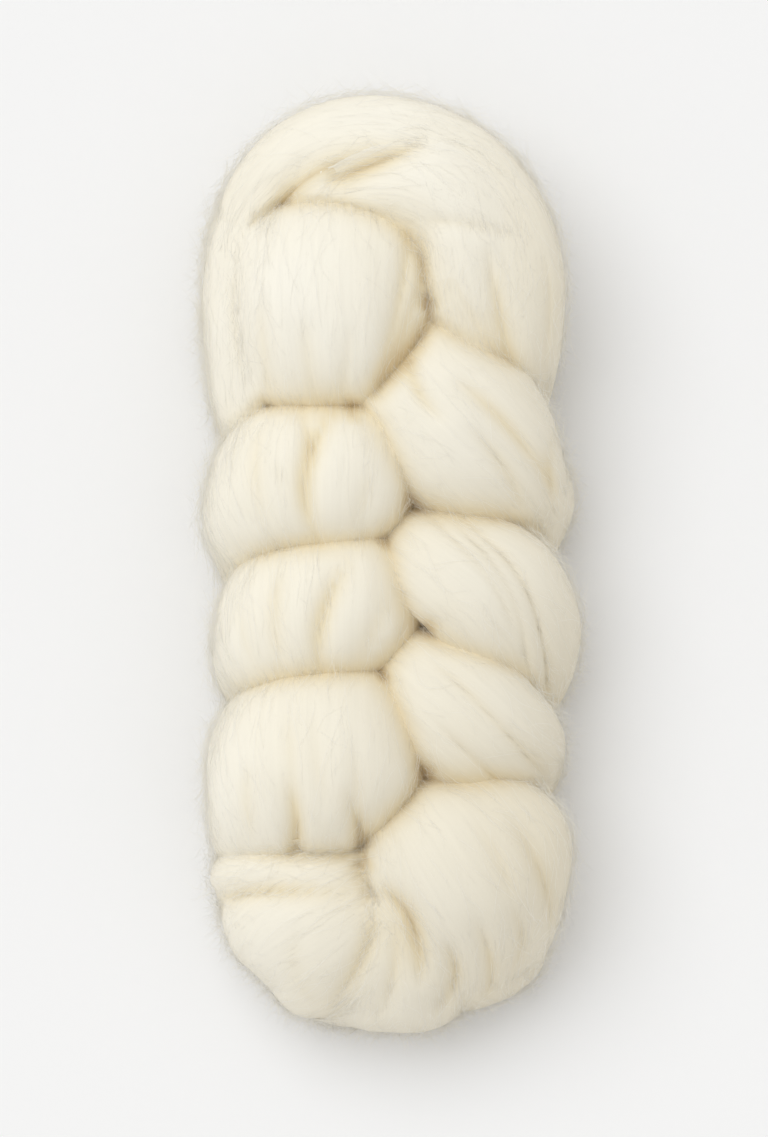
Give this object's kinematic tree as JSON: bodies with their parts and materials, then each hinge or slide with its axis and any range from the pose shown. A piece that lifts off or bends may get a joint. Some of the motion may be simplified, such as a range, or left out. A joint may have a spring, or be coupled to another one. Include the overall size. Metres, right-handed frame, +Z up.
{
  "type": "wool roving braid",
  "caption": "Length of undyed cream wool roving, chained on itself into a plump flat-lying braid of soft bundles, for spinning or felting.",
  "frame": {"origin": "on the ground plane under the centre of the braid's bounding box", "axes": "+Z up, away from the surface it lies on; +Y along the braid, towards its rounded starting loop; +X across it"},
  "size_m": [0.1372, 0.3392, 0.0819],
  "materials": {
    "undyed_wool": "matt, fluffy combed fibre with a soft sheen along the strands"
  },
  "bodies": {
    "root": {"roving_braid": "undyed_wool"}
  },
  "joints": []
}
